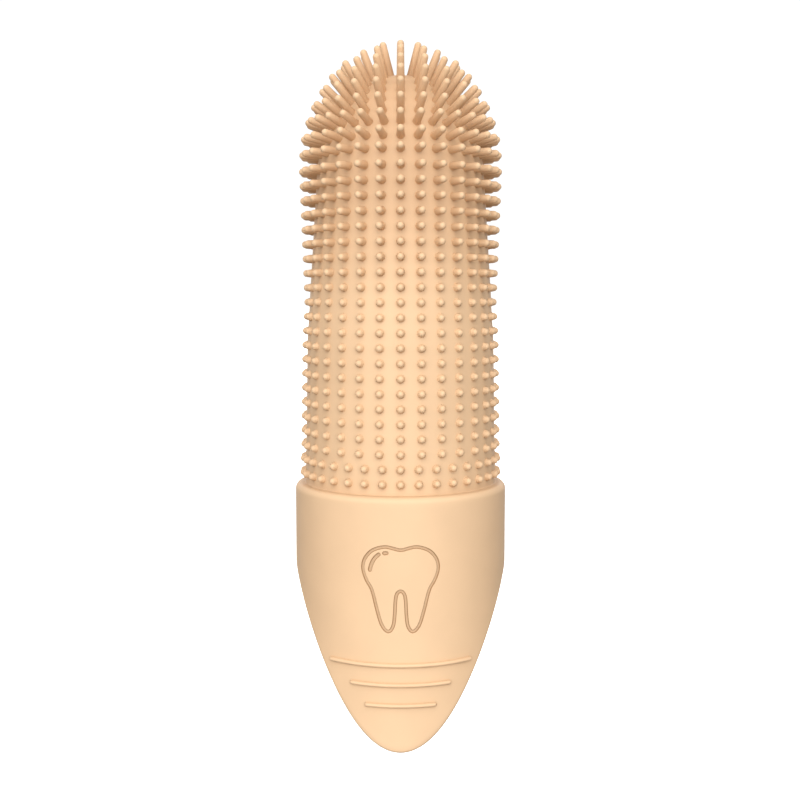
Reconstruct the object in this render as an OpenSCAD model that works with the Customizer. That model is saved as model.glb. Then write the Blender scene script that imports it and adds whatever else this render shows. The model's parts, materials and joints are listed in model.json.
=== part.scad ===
// Finger toothbrush for a pet: a soft hollow sleeve with rings of bristles, a smooth collar at its
// mouth, and a pointed pull tab with grip ribs. The origin is on the sleeve's axis at the lower
// edge of the collar, +Z runs to the bristled tip, and the tab hangs down in front, at -Y.

/* [Collar] */
// Outer diameter of the smooth collar
collar_d = 24.1; // [23.8:0.1:24.4]
// Height of the collar above its lower edge
collar_h = 9.2; // [8.8:0.1:9.4]
// Radius of the collar's rounded upper rim
rim_r = 0.7; // [0.3:0.1:0.9]

/* [Sleeve] */
// Diameter of the finger bore
bore_d = 18.4; // [17.8:0.1:18.6]
// Height at which the straight finger bore ends
bore_h = 31; // [28:0.5:33]
// Outer diameter of the sleeve inside the collar
sleeve_d = 21.76; // [21.6:0.02:21.8]
// Height of the sleeve's tip above the collar's lower edge
tip_h = 54.9; // [54:0.1:56]
// Thickness of the wall around the tip
tip_wall = 1.4; // [1.2:0.1:1.6]

/* [Pull tab] */
// Length of the pull tab below the collar's lower edge
tab_len = 18.6; // [17:0.2:20]
// Thickness of the pull tab
tab_t = 2; // [1.8:0.1:2.2]
// Power that shapes the tab's outline, from blunt to pointed
tab_power = 1.92; // [1.8:0.02:2.2]
// Height of the line about which the tab bends
bend_z = -7; // [-7.4:0.1:-6.6]
// Angle that the tab can bend inwards, in degrees
inward_bend = 15; // [5:1:15]
// Height that the grip ribs stand out from the tab
rib_t = 0.3; // [0.2:0.05:0.4]

/* [Bristles] */
// Bristles in each ring of the sleeve
ring_count = 30; // [24:1:32]
// Bristles in each of the two close rings next to the collar
close_count = 35; // [30:1:36]
// Distance between rings
ring_step = 1.609; // [1.58:0.001:1.62]
// Radius of a bristle's domed end
bristle_r = 0.39; // [0.3:0.01:0.42]
// Radius of a bristle at its root
root_r = 0.44; // [0.4:0.01:0.48]
// Distance that the short bristles stand out from the sleeve
short_out = 0.6; // [0.5:0.05:0.7]
// Depth of the emblem's groove
groove_t = 0.25; // [0.1:0.05:0.4]

/* [Hidden] */
RINGS = 20;        // rings of the sleeve, above the two close ones
FIRST_RING_Z = 13.6;
CLOSE_RING_Z = [10.4, 12.0];
CLOSE_EXTRA = 0.05; // how much further the close bristles stand out than the short ones
LONG_FROM_Z = 29.7;
LONG_GROWTH = 0.1; // extra bristle length for each millimetre above LONG_FROM_Z
ROOT_DEPTH = 0.25; // how far a bristle's root reaches into the wall

// Rings of the domed tip, lowest first: place of the roots round the dome's quarter ellipse, tilt
// of the bristles above the horizontal, free length of a bristle, and number of bristles
DOME_RINGS = [
    [14, 3, 1.85, 30],
    [21, 13, 2.05, 30],
    [29, 21, 2.2, 30],
    [36, 33, 2.4, 25],
    [44, 42, 2.6, 21],
    [52, 49, 2.85, 18],
    [60, 57, 3.05, 15],
    [71, 67, 3.15, 10],
    [82, 74, 3.35, 6],
    [90, 90, 3.4, 1],
];

RIBS = [            // height and half the spread, in degrees, of each grip rib
    [-8.9, 39.5],
    [-11.05, 26.8],
    [-13.3, 18.7],
];
RIB_W = 0.46;

collar_r = collar_d / 2;
bore_r = bore_d / 2;
sleeve_r = sleeve_d / 2;
tab_inner_r = collar_r - tab_t;

// The sleeve narrows a little to KNEE_Z, then faster to the dome, whose quarter ellipse has its
// centre a little below the seam at SEAM_Z so that the outline stays smooth
KNEE_Z = 25.5;
KNEE_R = sleeve_r - 0.29;
SEAM_Z = 44;
DOME_Z = 43;
DOME_R = sleeve_r - 1.467;
DOME_H = tip_h - DOME_Z;
CAVITY_R = DOME_R - tip_wall;
CAVITY_H = DOME_H - tip_wall;

SIDE_END = 85;      // how far round the collar's front the tab's outline starts, in degrees
PANEL_END = 45;     // half the spread of the collar's plain front panel
OUTLINE_STEP = 2.5;
RELIEF = tan(inward_bend + 2);
HINGE_GAP = 0.05;
CORNER_DROP = 2.1;  // how far below the bend line the tab's upper corners are
TAB_HALF = acos(pow((CORNER_DROP - bend_z) / tab_len, 1 / tab_power));

function ellipse_r(z, r, h) = r * sqrt(max(0, 1 - pow((z - DOME_Z) / h, 2)));
function sleeve_r_at(z) =
    z < collar_h ? sleeve_r :
    z < KNEE_Z ? sleeve_r + (KNEE_R - sleeve_r) * (z - collar_h) / (KNEE_Z - collar_h) :
    z < SEAM_Z ? KNEE_R + (ellipse_r(SEAM_Z, DOME_R, DOME_H) - KNEE_R) * (z - KNEE_Z) / (SEAM_Z - KNEE_Z) :
    ellipse_r(z, DOME_R, DOME_H);

// Lower edge of the tab at an angle from its middle
function tab_edge(a) = -tab_len * pow(cos(a), tab_power);
function dome_points(r, h, steps = 14) =
    let (a0 = asin((SEAM_Z - DOME_Z) / h))
    [for (i = [0 : steps]) let (a = a0 + (90 - a0) * i / steps) [r * cos(a), DOME_Z + h * sin(a)]];
function reversed(list) = [for (i = [len(list) - 1 : -1 : 0]) list[i]];

// Smooth curve through a closed loop of points
function spline_point(p, q, r, s, t) =
    0.5 * (2 * q + (r - p) * t + (2 * p - 5 * q + 4 * r - s) * t * t + (3 * q - p - 3 * r + s) * t * t * t);
function closed_spline(pts, steps) =
    let (n = len(pts))
    [for (i = [0 : n - 1], j = [0 : steps - 1])
        spline_point(pts[(i + n - 1) % n], pts[i], pts[(i + 1) % n], pts[(i + 2) % n], j / steps)];
function shifted(loop, d) =
    let (n = len(loop))
    [for (i = [0 : n - 1])
        let (v = loop[(i + 1) % n] - loop[(i + n - 1) % n])
        loop[i] + d * [v[1], -v[0]] / norm(v)];

// One half of the emblem's outline, a plain molar: crown, waist, root and the gap between roots
TOOTH_HALF = [
    [0, 3.72], [0.85, 3.92], [1.75, 4.05], [3.0, 3.6], [3.8, 2.65], [3.98, 1.6],
    [3.6, 0.4], [3.0, -0.65], [2.45, -2.8], [1.95, -4.4], [1.28, -5.12], [0.78, -4.5],
    [0.6, -3.2], [0.52, -1.7], [0.37, -0.95], [0, -0.66],
];
TOOTH_LOOP = concat(
    TOOTH_HALF,
    [for (i = [len(TOOTH_HALF) - 2 : -1 : 1]) [-TOOTH_HALF[i][0], TOOTH_HALF[i][1]]]
);
GROOVE_W = 0.38;

module silicone() {
    color([0.94, 0.78, 0.6]) children();
}

// One bristle standing along +Z from its root at the origin
module bristle(length) {
    dome = [for (a = [0 : 30 : 60]) [bristle_r * cos(a), length + bristle_r * sin(a)]];
    rotate_extrude($fn = 20)
        polygon(concat([[0, -ROOT_DEPTH], [root_r, -ROOT_DEPTH]], dome, [[0, length + bristle_r]]));
}

// A ring of bristles with their roots at radius r and height z
module bristle_ring(r, z, tilt, length, count) {
    silicone()
        for (i = [0 : count - 1])
            rotate([0, 0, 360 * i / count])
                translate([0, -r, z])
                    rotate([90 - tilt, 0, 0])
                        bristle(length);
}

module sleeve_ring(i) {
    z = FIRST_RING_Z + ring_step * (i - 1);
    out = short_out + LONG_GROWTH * max(0, z - LONG_FROM_Z);
    bristle_ring(sleeve_r_at(z), z, 0, out - bristle_r, ring_count);
}

module close_ring(i) {
    z = CLOSE_RING_Z[i - 1];
    bristle_ring(sleeve_r_at(z), z, 0, short_out + CLOSE_EXTRA - bristle_r, close_count);
}

module tip_ring(i) {
    row = DOME_RINGS[i - 1];
    bristle_ring(
        DOME_R * cos(row[0]), DOME_Z + DOME_H * sin(row[0]), row[1], row[2], row[3]
    );
}

module finger_sleeve() {
    silicone()
        rotate_extrude($fn = 96)
            polygon([
                [bore_r, 0], [sleeve_r, 0], [sleeve_r, collar_h], [KNEE_R, KNEE_Z],
                [ellipse_r(SEAM_Z, DOME_R, DOME_H), SEAM_Z],
                [ellipse_r(SEAM_Z, CAVITY_R, CAVITY_H), SEAM_Z], [bore_r, bore_h]
            ]);
}

module sleeve_tip() {
    silicone()
        rotate_extrude($fn = 96)
            polygon(concat(
                dome_points(DOME_R, DOME_H),
                reversed(dome_points(CAVITY_R, CAVITY_H))
            ));
}

// Curved strip of wall between two angles, from a lower edge to an upper edge at each angle
module wall_strip(low, high, angles) {
    n = len(angles);
    function ring(r, z, a) = [r * sin(a), -r * cos(a), z];
    points = [for (a = angles)
        each [
            ring(collar_r, low(a, collar_r), a), ring(collar_r, high(a, collar_r), a),
            ring(tab_inner_r, high(a, tab_inner_r), a), ring(tab_inner_r, low(a, tab_inner_r), a)
        ]];
    sides = [for (i = [0 : n - 2], j = [0 : 3])
        each [
            [4 * i + j, 4 * i + (j + 1) % 4, 4 * (i + 1) + (j + 1) % 4],
            [4 * i + j, 4 * (i + 1) + (j + 1) % 4, 4 * (i + 1) + j]
        ]];
    polyhedron(points, concat([[3, 2, 1, 0]], sides, [[for (j = [0 : 3]) 4 * (n - 1) + j]]));
}

function steps_between(a, b) =
    let (n = ceil((b - a) / OUTLINE_STEP)) [for (i = [0 : n]) a + (b - a) * i / n];
low_edge = function (a, r) max(tab_edge(a), bend_z);
flush_top = function (a, r) 0;

// Emblem's groove, cut only near the collar's surface
module emblem_groove() {
    loop = closed_spline(TOOTH_LOOP, 3);
    difference() {
        rotate([90, 0, 0])
            linear_extrude(collar_r + 1)
                difference() {
                    polygon(shifted(loop, -GROOVE_W / 2));
                    polygon(shifted(loop, GROOVE_W / 2));
                }
        cylinder(r = collar_r - groove_t, h = tab_len, center = true, $fn = 96);
    }
}

module collar() {
    silicone()
        difference() {
            union() {
                rotate_extrude($fn = 96)
                    polygon(concat(
                        [[sleeve_r, 0], [collar_r, 0]],
                        [for (a = [0 : 15 : 90])
                            [collar_r - rim_r + rim_r * cos(a), collar_h - rim_r + rim_r * sin(a)]],
                        [[sleeve_r, collar_h]]
                    ));
                rotate([0, 0, -90 - PANEL_END])
                    rotate_extrude(angle = 2 * PANEL_END, $fn = 96)
                        translate([tab_inner_r, bend_z])
                            square([tab_t, -bend_z]);
            }
            emblem_groove();
        }
}

// The sloping sides that run from the collar down into the pull tab
module right_skirt() {
    silicone()
        wall_strip(low_edge, flush_top, steps_between(PANEL_END, SIDE_END));
}

module left_skirt() {
    silicone()
        wall_strip(low_edge, flush_top, steps_between(-SIDE_END, -PANEL_END));
}

// Top of the tab, cut back behind the bend line so that the tab can bend inwards
tab_top = function (a, r) bend_z - HINGE_GAP - RELIEF * (collar_r - r * cos(a));

module pull_tab() {
    tab_low = function (a, r) tab_edge(a);
    silicone()
        wall_strip(tab_low, tab_top, steps_between(-TAB_HALF, TAB_HALF));
}

module grip_rib(z, half) {
    silicone()
        translate([0, 0, z])
            rotate([0, 0, -90 - half])
                rotate_extrude(angle = 2 * half, $fn = 96)
                    polygon([
                        for (a = [0 : 30 : 180]) [collar_r + rib_t * sin(a), -RIB_W / 2 * cos(a)]
                    ]);
}

module upper_grip_rib() {
    grip_rib(RIBS[0][0], RIBS[0][1]);
}

module middle_grip_rib() {
    grip_rib(RIBS[1][0], RIBS[1][1]);
}

module lower_grip_rib() {
    grip_rib(RIBS[2][0], RIBS[2][1]);
}

finger_sleeve();
sleeve_tip();
collar();
left_skirt();
right_skirt();
pull_tab();
upper_grip_rib();
middle_grip_rib();
lower_grip_rib();
for (i = [1 : 2]) close_ring(i);
for (i = [1 : RINGS]) sleeve_ring(i);
for (i = [1 : len(DOME_RINGS)]) tip_ring(i);
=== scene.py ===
import json
import math

import bpy
import numpy as np
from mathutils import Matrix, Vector
from mathutils.geometry import delaunay_2d_cdt


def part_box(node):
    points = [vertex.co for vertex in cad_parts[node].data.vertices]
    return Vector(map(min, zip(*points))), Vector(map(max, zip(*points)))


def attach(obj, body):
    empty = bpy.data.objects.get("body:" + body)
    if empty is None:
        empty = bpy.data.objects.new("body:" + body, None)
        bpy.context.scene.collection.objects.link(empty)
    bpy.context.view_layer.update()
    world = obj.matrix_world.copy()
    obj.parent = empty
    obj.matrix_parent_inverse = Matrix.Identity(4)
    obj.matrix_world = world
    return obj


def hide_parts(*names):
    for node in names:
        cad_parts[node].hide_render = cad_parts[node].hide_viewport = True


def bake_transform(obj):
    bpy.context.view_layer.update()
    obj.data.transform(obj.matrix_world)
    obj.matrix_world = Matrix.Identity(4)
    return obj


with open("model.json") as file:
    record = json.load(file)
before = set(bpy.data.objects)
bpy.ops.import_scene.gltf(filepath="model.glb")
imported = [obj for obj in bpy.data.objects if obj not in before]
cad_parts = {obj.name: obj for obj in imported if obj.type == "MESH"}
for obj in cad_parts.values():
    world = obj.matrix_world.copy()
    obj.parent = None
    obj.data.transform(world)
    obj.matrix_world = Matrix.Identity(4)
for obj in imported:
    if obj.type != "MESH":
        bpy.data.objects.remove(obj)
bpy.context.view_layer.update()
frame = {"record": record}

# A finger toothbrush for a pet. Shapes are worked out in millimetres, in the CAD's own frame:
# the origin at the mouth of the finger bore, +Z to the tip, the pull tab in front at -Y.
# An angle round the sleeve is 0 at the front and grows towards +X.

MM = 0.001


def corner(node, side, axis):
    """One coordinate of a CAD node's box in mm. side is 0 for its low corner, 1 for its high."""
    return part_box(node)[side][axis] / MM


# ---------------------------------------------------------------- sizes from the frame
bore = frame["record"]["mounts"][0]["dims"]
BORE_R = bore["r_mm"]
BORE_H = bore["length_mm"]
COLLAR_R = corner("collar", 1, 0)
COLLAR_H = corner("collar", 1, 2)
SLEEVE_R = corner("finger_sleeve", 1, 0)
SEAM_Z = corner("sleeve_tip", 0, 2)
TIP_H = corner("sleeve_tip", 1, 2)
TAB_LEN = -corner("pull_tab", 0, 2)

# ---------------------------------------------------------------- driving dimensions, in mm
TAB_POWER = 1.92       # shape of the tab's outline
TAB_T = 2.0            # thickness of the tab
TAB_INNER_R = COLLAR_R - TAB_T
RIM_R = 0.7            # rounded upper rim of the collar
EDGE_R = 0.35          # rounded lower edge of the collar and the tab
CREASE_R = 0.18        # rounded corner between the collar's rim and the sleeve
KNEE_Z = 25.5          # the sleeve narrows faster above this height
KNEE_R = SLEEVE_R - 0.29
DOME_Z = 43.0          # centre of the tip's quarter ellipse
DOME_R = SLEEVE_R - 1.467
DOME_H = TIP_H - DOME_Z
WALL = 1.4             # thickness of the wall round the tip

# Half the spread of each grip rib round the tab, in degrees
RIB_SPREAD = {"upper_grip_rib": 39.5, "middle_grip_rib": 26.8, "lower_grip_rib": 18.7}
RIB_T = 0.3            # how far a rib stands out from the tab
RIB_BED = 0.05         # how far a rib's middle line is bedded in the tab
RIB_WIDEN = 1.1        # how much wider a rib is than its CAD solid

BRISTLE_R = 0.39       # at a bristle's domed end
ROOT_R = 0.44          # at its root
FLARE_R = 0.04         # how much wider it is where it meets the wall
FLARE_H = 0.12         # height of that flare
ROOT_DEPTH = 0.25      # how far a bristle's root reaches into the wall
SHORT_OUT = 0.6        # how far a short bristle stands out
CLOSE_EXTRA = 0.05     # how much further the bristles of the two close rings stand out
LONG_FROM_Z = 29.7     # above this height the bristles grow longer
LONG_GROWTH = 0.1      # by this much for each millimetre
RING_COUNT = 30        # bristles in each ring of the sleeve
CLOSE_COUNT = 35       # bristles in each close ring, next to the collar
CLOSE_RING_Z = (10.4, 12.0)
FIRST_RING_Z = 13.6
RING_STEP = 1.609
RINGS = 20
# Rings of the tip, lowest first: place round the quarter ellipse, tilt, free length, count
DOME_RINGS = (
    (14, 3, 1.85, 30),
    (21, 13, 2.05, 30),
    (29, 21, 2.2, 30),
    (36, 33, 2.4, 25),
    (44, 42, 2.6, 21),
    (52, 49, 2.85, 18),
    (60, 57, 3.05, 15),
    (71, 67, 3.15, 10),
    (82, 74, 3.35, 6),
    (90, 90, 3.4, 1),
)


# ---------------------------------------------------------------- materials
PEACH = (0.8, 0.542, 0.327)
# Painted shade: the colour is multiplied by these on a groove's floor and walls, and in crevices,
# where shade falls
GROOVE_FLOOR_PAINTED_SHADE = 0.85
GROOVE_WALL_PAINTED_SHADE = (0.52, 0.44, 0.36)
CREVICE_PAINTED_SHADE_TINT = (0.65, 0.6, 0.54)
# Painted shade: how far the darkening in crevices and between bristles reaches
PAINTED_SHADE_REACH_MM = 2.0           # how near other surfaces deepen the colour
# Sizes of the clouds of colour, of the patches of sheen and of the moulded grain
CLOUD_MM = 5.0
SHEEN_MM = 1.2
GRAIN_MM = 0.09
GRAIN_DEPTH_MM = 0.02


def node_of(tree, kind, **inputs):
    """A new shader node with some of its inputs set."""
    made = tree.nodes.new(kind)
    for name, value in inputs.items():
        made.inputs[name.replace("_", " ")].default_value = value
    return made


def silicone(name, colour, roughness=0.55):
    """Matte silicone: faint clouds of colour, painted shade in crevices, uneven sheen, moulded
    grain.
    """
    material = bpy.data.materials.new(name)
    material.use_nodes = True
    tree = material.node_tree
    shader = tree.nodes["Principled BSDF"]
    where = tree.nodes.new("ShaderNodeTexCoord")

    def noise(size_mm, detail):
        made = node_of(tree, "ShaderNodeTexNoise", Scale=1 / (size_mm * MM), Detail=detail)
        tree.links.new(where.outputs["Object"], made.inputs["Vector"])
        return made

    def spread(source, low, high):
        made = node_of(tree, "ShaderNodeMapRange", From_Min=0.3, From_Max=0.7)
        made.inputs["To Min"].default_value = low
        made.inputs["To Max"].default_value = high
        tree.links.new(source.outputs["Fac"], made.inputs["Value"])
        return made

    clouds = spread(noise(CLOUD_MM, 3.0), 0.0, 1.0)
    tint = tree.nodes.new("ShaderNodeMix")
    tint.data_type = "RGBA"
    tint.inputs["A"].default_value = (*[c * 0.975 for c in colour], 1)
    tint.inputs["B"].default_value = (*[min(1.0, c * 1.02) for c in colour], 1)
    tree.links.new(clouds.outputs["Result"], tint.inputs["Factor"])

    # Painted shade: the colour is made darker where other surfaces are near, in crevices and
    # between bristles
    open_space = node_of(tree, "ShaderNodeAmbientOcclusion", Distance=PAINTED_SHADE_REACH_MM * MM)
    crevice_painted_shade = tree.nodes.new("ShaderNodeMix")
    crevice_painted_shade.data_type = "RGBA"
    crevice_painted_shade.inputs["A"].default_value = (*CREVICE_PAINTED_SHADE_TINT, 1)
    crevice_painted_shade.inputs["B"].default_value = (1, 1, 1, 1)
    tree.links.new(open_space.outputs["AO"], crevice_painted_shade.inputs["Factor"])
    painted_shade_colour = tree.nodes.new("ShaderNodeMix")
    painted_shade_colour.data_type = "RGBA"
    painted_shade_colour.blend_type = "MULTIPLY"
    painted_shade_colour.inputs["Factor"].default_value = 1.0
    tree.links.new(tint.outputs["Result"], painted_shade_colour.inputs["A"])
    tree.links.new(crevice_painted_shade.outputs["Result"], painted_shade_colour.inputs["B"])
    tree.links.new(painted_shade_colour.outputs["Result"], shader.inputs["Base Color"])

    gloss = spread(noise(SHEEN_MM, 4.0), roughness - 0.05, roughness + 0.06)
    tree.links.new(gloss.outputs["Result"], shader.inputs["Roughness"])

    grain = noise(GRAIN_MM, 3.0)
    bump = node_of(tree, "ShaderNodeBump", Strength=0.12, Distance=GRAIN_DEPTH_MM * MM)
    tree.links.new(grain.outputs["Fac"], bump.inputs["Height"])
    tree.links.new(bump.outputs["Normal"], shader.inputs["Normal"])

    shader.inputs["Specular IOR Level"].default_value = 0.3
    return material


skin_material = silicone("peach_silicone_skin", PEACH)
bristle_material = silicone("peach_silicone_bristles", PEACH)
# Painted shade: darker copies of the silicone for the grooves' floors and walls, where shade falls
# in the emblem
groove_floor_painted_shade_colour = [c * GROOVE_FLOOR_PAINTED_SHADE for c in PEACH]
groove_floor_painted_shade_material = silicone("peach_silicone_groove_floor_painted_shade", groove_floor_painted_shade_colour, 0.7)
groove_wall_painted_shade_colour = [c * t for c, t in zip(PEACH, GROOVE_WALL_PAINTED_SHADE)]
groove_wall_painted_shade_material = silicone("peach_silicone_groove_wall_painted_shade", groove_wall_painted_shade_colour, 0.7)


# ---------------------------------------------------------------- mesh helpers
def piece(name, points, faces, material):
    """A smooth mesh object from points in mm."""
    mesh = bpy.data.meshes.new(name)
    mesh.from_pydata((np.asarray(points) * MM).tolist(), [], faces)
    mesh.polygons.foreach_set("use_smooth", [True] * len(mesh.polygons))
    mesh.materials.append(material)
    mesh.update()
    made = bpy.data.objects.new(name, mesh)
    bpy.context.scene.collection.objects.link(made)
    return made


def round_axis(radius, height, angle):
    """Points at a radius, height and angle in radians round the sleeve's axis."""
    return np.stack([radius * np.sin(angle), -radius * np.cos(angle), height], -1)


def tube_faces(rows, columns, start=0):
    """Quads of a grid of points that closes on itself along its rows."""
    i, j = np.meshgrid(np.arange(rows - 1), np.arange(columns), indexing="ij")
    after = (j + 1) % columns
    low, high = i * columns, (i + 1) * columns
    corners = [low + j, low + after, high + after, high + j]
    return (np.stack(corners, -1).reshape(-1, 4) + start).tolist()


def smooth(x):
    """0 to 1 with level ends."""
    x = np.clip(x, 0, 1)
    return x * x * (3 - 2 * x)


# ---------------------------------------------------------------- the emblem: a plain molar
TOOTH_HALF = (
    (0, 3.62), (0.87, 3.82), (1.8, 3.95), (3.09, 3.5), (3.91, 2.55), (4.1, 1.5),
    (3.7, 0.3), (3.09, -0.75), (2.52, -2.9), (2.01, -4.5), (1.32, -5.22), (0.8, -4.6),
    (0.62, -3.3), (0.54, -1.8), (0.38, -1.05), (0, -0.76),
)
GLEAM = ((-3.32, 1.42), (-3.13, 2.08), (-2.78, 2.7), (-2.35, 3.12))
GLINT = ((-1.74, 3.27), (-1.5, 3.29))
# The groove's profile: distance from its middle line, and depth there
GROOVE = ((0.21, 0), (0.19, 0), (0.12, 0.16), (0.09, 0.18))
STROKE_EXTRA = 0.03        # how much wider the gleam's strokes are on each side
CLEAR_OF_GROOVE = 0.13     # no other points of the skin come nearer to a groove than this
CURVE_STEPS = 12           # points between two given ones, before they are spaced evenly


def curve_through(points, closed, spacing=0.12, softening=3):
    """A smooth curve through points, evenly spaced, and its direction at each of its points."""
    p = np.array(points, float)
    n = len(p)
    made = []
    for i in range(n if closed else n - 1):
        if closed:
            a, b, c, d = p[i - 1], p[i], p[(i + 1) % n], p[(i + 2) % n]
        else:
            a, b, c, d = p[max(i - 1, 0)], p[i], p[i + 1], p[min(i + 2, n - 1)]
        for t in np.arange(CURVE_STEPS) / CURVE_STEPS:
            made.append(
                0.5 * (2 * b + (c - a) * t + (2 * a - 5 * b + 4 * c - d) * t**2
                       + (3 * b - a - 3 * c + d) * t**3)
            )
    made = np.array(made + [p[0] if closed else p[-1]])
    along = np.concatenate([[0], np.cumsum(np.linalg.norm(np.diff(made, axis=0), axis=1))])
    places = np.linspace(0, along[-1], round(along[-1] / spacing) + 1)
    made = np.stack([np.interp(places, along, made[:, k]) for k in (0, 1)], -1)
    if not closed:
        ahead = np.gradient(made, axis=0)
    else:
        made = made[:-1]
        for _ in range(softening):
            made = (np.roll(made, 1, axis=0) + 2 * made + np.roll(made, -1, axis=0)) / 4
        ahead = np.roll(made, -1, axis=0) - np.roll(made, 1, axis=0)
    return made, ahead / np.linalg.norm(ahead, axis=1)[:, None]


def beside(curve, ahead, d):
    """The curve moved sideways by d, to its left."""
    return curve + d * np.stack([-ahead[:, 1], ahead[:, 0]], -1)


def round_cap(middle, ahead, d):
    """Points round the end of a stroke, from its left side to its right."""
    turn = math.atan2(ahead[1], ahead[0])
    around = np.radians([60, 30, 0, -30, -60]) + turn
    return middle + d * np.stack([np.cos(around), np.sin(around)], -1)


def emblem_loops():
    """Closed loops along both sides of every groove, each with its depth."""
    mirrored = [(-x, z) for x, z in TOOTH_HALF[-2:0:-1]]
    outline, ahead = curve_through(list(TOOTH_HALF) + mirrored, True)
    for d, depth in GROOVE:
        yield beside(outline, ahead, d), depth
        yield beside(outline, ahead, -d), depth
    for stroke in (GLEAM, GLINT):
        middle, ahead = curve_through(stroke, False)
        for d, depth in GROOVE:
            d += STROKE_EXTRA
            yield np.concatenate([
                beside(middle, ahead, d), round_cap(middle[-1], ahead[-1], d),
                beside(middle, ahead, -d)[::-1], round_cap(middle[0], -ahead[0], d),
            ]), depth


# ---------------------------------------------------------------- the skin
COLUMNS = 180
EMBLEM_HALF = 11           # columns of the emblem's patch on each side of the front
EMBLEM_LOW, EMBLEM_HIGH = -6.0, 5.0
MOUTH_TOP = 2.0            # the inside starts to open out to the tab below this height
MOUTH_FADE = 4.0           # and is fully open this much further down
THIN_OVER = 3.0            # the wall is as thin as the tab where the edge is this far down
# Rows of points along each stretch of the skin, from the inside of the tip to its outside
CAVITY_ROWS, TAPER_ROWS, BORE_ROWS, MOUTH_ROWS = 14, 6, 10, 22
BELOW_EMBLEM_ROWS, EMBLEM_ROWS, ABOVE_EMBLEM_ROWS = 24, 18, 8
LOWER_SLEEVE_ROWS, UPPER_SLEEVE_ROWS, DOME_ROWS = 16, 14, 26


def tab_edge(angle):
    """Height of the lower edge at each angle: the tab in front, the collar's edge behind."""
    facing = np.clip(np.cos(angle), 0, None)
    return -TAB_LEN * facing**TAB_POWER


def dome(radius, height, steps):
    """Radii and heights up a quarter ellipse of the tip, from the seam to just below its top."""
    first = math.asin((SEAM_Z - DOME_Z) / height)
    a = np.linspace(first, math.pi / 2, steps, endpoint=False)
    return radius * np.cos(a), DOME_Z + height * np.sin(a)


def skin_rows(angles):
    """Radius, height and angle of each row of points: down the inside, round the lower edge, and
    up the outside. The second result is the first and last row of the emblem's patch."""
    edge = tab_edge(angles)
    slope = np.gradient(edge, angles) / COLLAR_R
    steep = np.sqrt(1 + slope**2)
    inner_r = BORE_R + (TAB_INNER_R - BORE_R) * smooth(-edge / THIN_OVER)
    ones = np.ones_like(angles)
    rows = []

    def add(radius, height, inward=0.0):
        """inward is a distance from the lower edge, square to it and along the wall."""
        rows.append((radius * ones, height * ones, angles - inward * slope / steep / COLLAR_R))

    # inside: down the dome, the tapered space and the straight bore
    cavity_r, cavity_z = dome(DOME_R - WALL, DOME_H - WALL, CAVITY_ROWS)
    for r, z in zip(cavity_r[::-1], cavity_z[::-1]):
        add(r, z)
    for t in np.linspace(0, 1, TAPER_ROWS)[1:]:
        add(cavity_r[0] + (BORE_R - cavity_r[0]) * t, SEAM_Z + (BORE_H - SEAM_Z) * t)
    for t in np.linspace(0, 1, BORE_ROWS)[1:]:
        add(BORE_R, BORE_H + (MOUTH_TOP - BORE_H) * t)
    # inside of the mouth and the tab, then round the lower edge
    low = edge + EDGE_R / steep
    for t in np.linspace(0, 1, MOUTH_ROWS)[1:]:
        z = MOUTH_TOP + (low - MOUTH_TOP) * t
        opening = smooth((MOUTH_TOP - z) / MOUTH_FADE)
        add(BORE_R + (inner_r - BORE_R) * opening, z, EDGE_R * t**2)
    inside_low = rows[-1][0]
    for a in np.radians([30, 60, 90]):
        inward = EDGE_R * (1 - math.sin(a))
        add(inside_low + EDGE_R * (1 - math.cos(a)), edge + inward / steep, inward)
    for a in np.radians([90, 60, 30]):
        inward = EDGE_R * (1 - math.sin(a))
        add(COLLAR_R - EDGE_R * (1 - math.cos(a)), edge + inward / steep, inward)
    # outside: up the tab and the collar, past the emblem
    top = COLLAR_H - RIM_R
    emblem_from = (EMBLEM_LOW + TAB_LEN) / (top + TAB_LEN)
    emblem_to = (EMBLEM_HIGH + TAB_LEN) / (top + TAB_LEN)
    below = np.linspace(0, emblem_from, BELOW_EMBLEM_ROWS, endpoint=False)
    beside_emblem = np.linspace(emblem_from, emblem_to, EMBLEM_ROWS, endpoint=False)
    above = np.linspace(emblem_to, 1, ABOVE_EMBLEM_ROWS)
    patch = len(rows) + len(below), len(rows) + len(below) + len(beside_emblem)
    for share in np.concatenate([below, beside_emblem, above]):
        add(COLLAR_R, low + share * (top - low), EDGE_R * (1 - share)**2)
    for a in np.radians([15, 30, 45, 60, 75, 90]):
        add(COLLAR_R - RIM_R * (1 - math.cos(a)), top + RIM_R * math.sin(a))
    # the crease where the sleeve comes out of the collar, then the sleeve and the dome
    for a in np.radians([0, 30, 60, 90]):
        add(SLEEVE_R + CREASE_R * (1 - math.sin(a)), COLLAR_H + CREASE_R * (1 - math.cos(a)))
    for t in np.linspace(0, 1, LOWER_SLEEVE_ROWS)[1:]:
        z = COLLAR_H + CREASE_R + (KNEE_Z - COLLAR_H - CREASE_R) * t
        add(SLEEVE_R + (KNEE_R - SLEEVE_R) * t, z)
    dome_r, dome_z = dome(DOME_R, DOME_H, DOME_ROWS)
    for t in np.linspace(0, 1, UPPER_SLEEVE_ROWS, endpoint=False)[1:]:
        add(KNEE_R + (dome_r[0] - KNEE_R) * t, KNEE_Z + (SEAM_Z - KNEE_Z) * t)
    for r, z in zip(dome_r, dome_z):
        add(r, z)
    return np.array(rows), patch


def closed_edges(start, count):
    """Pairs of numbers that join a loop of points whose first number is start."""
    return [(start + i, start + (i + 1) % count) for i in range(count)]


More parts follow.
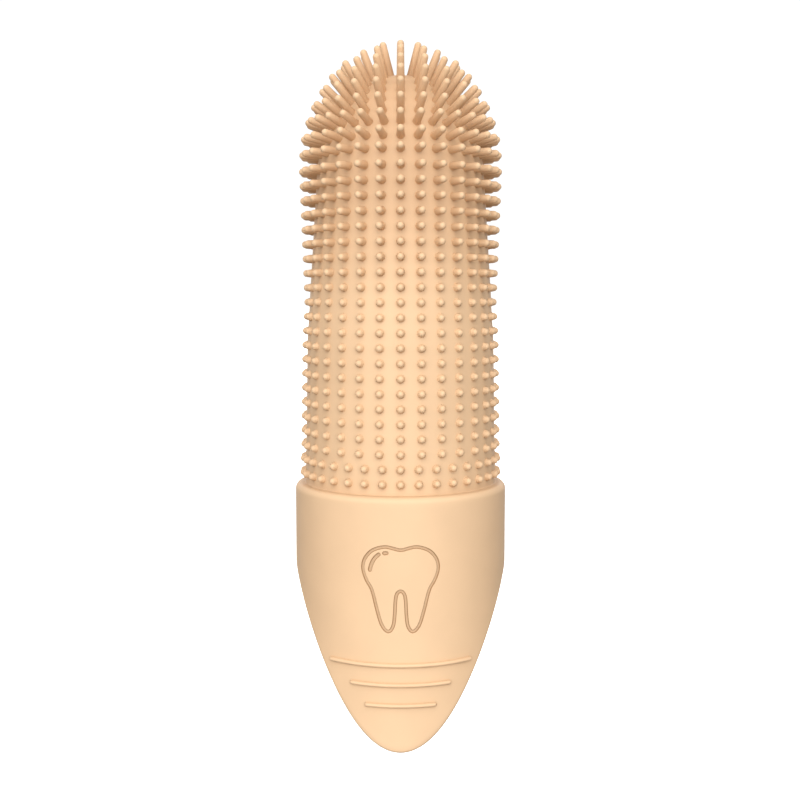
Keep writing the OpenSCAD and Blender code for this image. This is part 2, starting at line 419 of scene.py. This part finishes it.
def emblem_patch(around, filling):
    """Triangles over a stretch of the collar's front, with the emblem's grooves cut in.

    around and filling are points on the unrolled surface: the patch's edge in order, and those
    inside it. Returns the new points as (distance round, height, depth), and triangles whose
    numbers count the edge's points first.
    """
    loops = list(emblem_loops())
    grooves = np.concatenate([loop for loop, _ in loops])
    gap = np.linalg.norm(filling[:, None] - grooves[None], axis=2).min(axis=1)
    clear = filling[gap > CLEAR_OF_GROOVE]
    points = np.concatenate([around, clear, grooves])
    depths = np.concatenate(
        [np.zeros(len(around) + len(clear))] + [np.full(len(loop), depth) for loop, depth in loops]
    )
    edges, start = closed_edges(0, len(around)), len(around) + len(clear)
    for loop, _ in loops:
        edges += closed_edges(start, len(loop))
        start += len(loop)
    flat = [Vector(p) for p in points]
    _, _, faces, origin, _, _ = delaunay_2d_cdt(flat, edges, [], 1, 1e-5)
    triangles = [[origin[v][0] for v in face] for face in faces]
    new = np.column_stack([points, depths])[len(around):]
    return new, triangles


def skin():
    """The whole moulding but its ribs and bristles, as one closed mesh."""
    angles = np.linspace(-math.pi, math.pi, COLUMNS, endpoint=False)
    rows, (first, last) = skin_rows(angles)
    grid = round_axis(rows[:, 0], rows[:, 1], rows[:, 2]).reshape(-1, 3)
    number = np.arange(len(grid)).reshape(len(rows), COLUMNS)
    left, right = COLUMNS // 2 - EMBLEM_HALF, COLUMNS // 2 + EMBLEM_HALF

    # the emblem's patch takes the place of a block of the grid
    block = number[first:last + 1, left:right + 1]
    edge = np.concatenate([block[0], block[1:, -1], block[-1, -2::-1], block[-2:0:-1, 0]])
    inside = block[1:-1, 1:-1].ravel()
    flat = np.stack([rows[:, 2] * COLLAR_R, rows[:, 1]], -1).reshape(-1, 2)
    new, triangles = emblem_patch(flat[edge], flat[inside])
    added = round_axis(COLLAR_R - new[:, 2], new[:, 1], new[:, 0] / COLLAR_R)
    patch_numbers = np.concatenate([edge, len(grid) + np.arange(len(new))])

    quads = np.array(tube_faces(len(rows), COLUMNS)).reshape(len(rows) - 1, COLUMNS, 4)
    keep = np.ones(quads.shape[:2], bool)
    keep[first:last, left:right] = False
    faces = quads[keep].tolist() + patch_numbers[np.array(triangles)].tolist()
    poles = np.array([[0, 0, DOME_Z + DOME_H - WALL], [0, 0, TIP_H]])
    inner_pole = len(grid) + len(new)
    outer_pole = inner_pole + 1
    for j in range(COLUMNS):
        after = (j + 1) % COLUMNS
        faces.append([inner_pole, number[0, after], number[0, j]])
        faces.append([outer_pole, number[-1, j], number[-1, after]])
    points = np.concatenate([grid, added, poles])
    depth = np.zeros(len(points))
    depth[len(grid):inner_pole] = new[:, 2]
    used = np.unique(np.concatenate([np.ravel(f) for f in faces]))
    place = np.zeros(len(points), int)
    place[used] = np.arange(len(used))
    # materials: 0 on the skin, 1 on a groove's floor and 2 on its walls, both made darker as
    # painted shade in the grooves
    slots = [0 if depth[f].max() == 0 else 2 if depth[f].min() == 0 else 1 for f in faces]
    faces = [[int(place[v]) for v in f] for f in faces]
    made = piece("silicone_skin", points[used], faces, skin_material)
    made.data.materials.append(groove_floor_painted_shade_material)
    made.data.materials.append(groove_wall_painted_shade_material)
    made.data.polygons.foreach_set("material_index", slots)
    return made


def blend_at_tab(made):
    """Bakes a piece's placing into its points; it does not bend with the tab."""
    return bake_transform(made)


body = skin()
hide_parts("finger_sleeve", "sleeve_tip", "collar", "left_skirt", "right_skirt", "pull_tab")
blend_at_tab(body)


# ---------------------------------------------------------------- grip ribs
def grip_rib(node, half_degrees):
    """A raised half-round rib with round ends, bedded in the tab's face."""
    low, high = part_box(node)
    z = (low.z + high.z) / 2 / MM
    wide = (high.z - low.z) / 2 / MM
    half = math.radians(half_degrees)
    tip = wide / COLLAR_R
    along = np.concatenate([
        -half + tip * (1 - np.cos(np.radians([0, 25, 50, 70]))),
        np.linspace(-half + tip, half - tip, 60),
        half - tip * (1 - np.cos(np.radians([70, 50, 25, 0]))),
    ])
    inside = np.clip((half - np.abs(along)) / tip, 0, 1)
    size = np.sqrt(np.clip(1 - (1 - inside) ** 2, 0.0004, 1))
    a = np.radians(np.arange(0, 360, 24))
    r = COLLAR_R - RIB_BED + (RIB_T + RIB_BED) * np.sin(a)[None, :] * size[:, None]
    h = z + wide * RIB_WIDEN * np.cos(a)[None, :] * size[:, None]
    grid = round_axis(r, h, along[:, None]).reshape(-1, 3)
    n = len(a)
    faces = tube_faces(len(along), n)
    faces.append(list(range(n - 1, -1, -1)))
    faces.append(list(range(len(grid) - n, len(grid))))
    made = piece(node + "_skin", grid, faces, skin_material)
    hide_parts(node)
    return blend_at_tab(made)


for rib_node, spread_degrees in RIB_SPREAD.items():
    grip_rib(rib_node, spread_degrees)


# ---------------------------------------------------------------- bristles
def bristle_profile(length):
    """Radii and heights of one bristle, from its root inside the wall to its domed end, and the
    height of its top."""
    flare = min(FLARE_H, length * 0.5)
    rows = [
        (ROOT_R + FLARE_R, -ROOT_DEPTH), (ROOT_R + FLARE_R, -0.05),
        (ROOT_R + 0.015, flare * 0.4), (ROOT_R, flare)
    ]
    for t in (0.35, 0.7, 1.0):
        rows.append((ROOT_R + (BRISTLE_R - ROOT_R) * t, flare + (length - flare) * t))
    for a in np.radians([18, 36, 54, 72]):
        rows.append((BRISTLE_R * math.cos(a), length + BRISTLE_R * math.sin(a)))
    return np.array(rows), length + BRISTLE_R


def bristle_ring(node, radius, z, tilt, length, count, sides=16):
    """Every bristle of one ring, as closed shells in one piece. tilt is in degrees upwards."""
    rows, top = bristle_profile(length)
    a = np.arange(sides) * 2 * math.pi / sides
    ring = np.stack([
        rows[:, :1] * np.cos(a), rows[:, :1] * np.sin(a), np.repeat(rows[:, 1:], sides, 1)
    ], -1).reshape(-1, 3)
    one = np.concatenate([ring, [[0, 0, top]]])
    lean = math.radians(90 - tilt)
    tilted = np.stack([
        one[:, 0],
        one[:, 1] * math.cos(lean) - one[:, 2] * math.sin(lean) - radius,
        one[:, 1] * math.sin(lean) + one[:, 2] * math.cos(lean) + z,
    ], -1)
    faces_of_one = tube_faces(len(rows), sides)
    last = (len(rows) - 1) * sides
    faces_of_one += [[last + j, last + (j + 1) % sides, len(one) - 1] for j in range(sides)]
    points, faces = [], []
    for k in range(count):
        turn = 2 * math.pi * k / count
        c, s = math.cos(turn), math.sin(turn)
        points.append(np.stack([
            tilted[:, 0] * c - tilted[:, 1] * s, tilted[:, 0] * s + tilted[:, 1] * c, tilted[:, 2]
        ], -1))
        faces += [[v + k * len(one) for v in f] for f in faces_of_one]
        faces.append([v + k * len(one) for v in range(sides - 1, -1, -1)])
    made = piece(node + "_bristles", np.concatenate(points), faces, bristle_material)
    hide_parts(node)
    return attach(made, "sleeve")


def sleeve_radius(z):
    """Outer radius of the sleeve or the dome at a height above the collar."""
    if z < KNEE_Z:
        return SLEEVE_R + (KNEE_R - SLEEVE_R) * (z - COLLAR_H) / (KNEE_Z - COLLAR_H)
    seam_r = DOME_R * math.sqrt(1 - ((SEAM_Z - DOME_Z) / DOME_H) ** 2)
    if z < SEAM_Z:
        return KNEE_R + (seam_r - KNEE_R) * (z - KNEE_Z) / (SEAM_Z - KNEE_Z)
    return DOME_R * math.sqrt(1 - ((z - DOME_Z) / DOME_H) ** 2)


for i, ring_z in enumerate(CLOSE_RING_Z):
    bristle_ring(f"close_ring_{i + 1}", sleeve_radius(ring_z), ring_z, 0,
                 SHORT_OUT + CLOSE_EXTRA - BRISTLE_R, CLOSE_COUNT)
for i in range(RINGS):
    ring_z = FIRST_RING_Z + RING_STEP * i
    out = SHORT_OUT + LONG_GROWTH * max(0.0, ring_z - LONG_FROM_Z)
    bristle_ring(f"sleeve_ring_{i + 1}", sleeve_radius(ring_z), ring_z, 0,
                 out - BRISTLE_R, RING_COUNT)
for i, (place, tilt, length, count) in enumerate(DOME_RINGS):
    a = math.radians(place)
    bristle_ring(f"tip_ring_{i + 1}", DOME_R * math.cos(a), DOME_Z + DOME_H * math.sin(a),
                 tilt, length, count)


# ---------------------------------------------------------------- stage, light and camera
# Places are in metres
FLOOR_Z = -0.2
FLOOR_REACH = 20.0
CAMERA_AT = (-0.00006, -0.13445, 0.03069)
CAMERA_DOWN = 5.187        # degrees that the camera looks down
LENS_MM, SENSOR_MM = 52.94, 36
# Soft glows: degrees round from the front, degrees up, strength and narrowness
GLOWS = ((-3.5, 28, 2.78, 2), (180, 15, 2.0, 4))
GLOW_EVERYWHERE = 0.08
BACKDROP = 1.05


def stage_floor():
    """A plain white floor well below the brush, which is held up by its finger bore."""
    mesh = bpy.data.meshes.new("floor")
    around = ((-1, -1), (1, -1), (1, 1), (-1, 1))
    points = [(x * FLOOR_REACH, y * FLOOR_REACH, FLOOR_Z) for x, y in around]
    mesh.from_pydata(points, [], [(0, 1, 2, 3)])
    made = bpy.data.objects.new("floor", mesh)
    bpy.context.scene.collection.objects.link(made)
    white = bpy.data.materials.new("white_floor")
    white.use_nodes = True
    shader = white.node_tree.nodes["Principled BSDF"]
    shader.inputs["Base Color"].default_value = (0.9, 0.9, 0.9, 1)
    shader.inputs["Roughness"].default_value = 0.9
    shader.inputs["Emission Color"].default_value = (1, 1, 1, 1)
    shader.inputs["Emission Strength"].default_value = 0.85
    mesh.materials.append(white)
    made.visible_diffuse = False
    made.visible_glossy = False
    made.visible_transmission = False
    made.visible_shadow = False


def soft_world():
    """Soft white studio light: a little from everywhere and the wide glows, with plain white
    behind the brush."""
    world = bpy.data.worlds.new("studio")
    bpy.context.scene.world = world
    world.use_nodes = True
    tree = world.node_tree
    tree.nodes.clear()
    where = tree.nodes.new("ShaderNodeTexCoord")
    lit = node_of(tree, "ShaderNodeBackground", Color=(1, 1, 1, 1))
    total = None
    for turn, rise, strength, narrowness in GLOWS:
        turn, rise = math.radians(turn), math.radians(rise)
        facing = tree.nodes.new("ShaderNodeVectorMath")
        facing.operation = "DOT_PRODUCT"
        facing.inputs[1].default_value = (
            math.sin(turn) * math.cos(rise), -math.cos(turn) * math.cos(rise), math.sin(rise)
        )
        tree.links.new(where.outputs["Generated"], facing.inputs[0])
        ahead = tree.nodes.new("ShaderNodeMath")
        ahead.operation = "MAXIMUM"
        ahead.inputs[1].default_value = 0.0
        tree.links.new(facing.outputs["Value"], ahead.inputs[0])
        narrowed = tree.nodes.new("ShaderNodeMath")
        narrowed.operation = "POWER"
        narrowed.inputs[1].default_value = narrowness
        tree.links.new(ahead.outputs[0], narrowed.inputs[0])
        added = tree.nodes.new("ShaderNodeMath")
        added.operation = "MULTIPLY_ADD"
        added.inputs[1].default_value = strength
        added.inputs[2].default_value = GLOW_EVERYWHERE
        tree.links.new(narrowed.outputs[0], added.inputs[0])
        if total:
            tree.links.new(total.outputs[0], added.inputs[2])
        total = added
    tree.links.new(total.outputs[0], lit.inputs["Strength"])
    seen = node_of(tree, "ShaderNodeBackground", Color=(1, 1, 1, 1), Strength=BACKDROP)
    path = tree.nodes.new("ShaderNodeLightPath")
    mix = tree.nodes.new("ShaderNodeMixShader")
    out = tree.nodes.new("ShaderNodeOutputWorld")
    tree.links.new(path.outputs["Is Camera Ray"], mix.inputs["Fac"])
    tree.links.new(lit.outputs[0], mix.inputs[1])
    tree.links.new(seen.outputs[0], mix.inputs[2])
    tree.links.new(mix.outputs[0], out.inputs["Surface"])


stage_floor()
soft_world()

camera_data = bpy.data.cameras.new("camera")
camera_data.lens = LENS_MM
camera_data.sensor_width = SENSOR_MM
camera = bpy.data.objects.new("camera", camera_data)
camera.location = CAMERA_AT
camera.rotation_euler = (math.radians(90 - CAMERA_DOWN), 0, 0)
bpy.context.scene.collection.objects.link(camera)
bpy.context.scene.camera = camera
bpy.context.scene.view_settings.view_transform = "Standard"
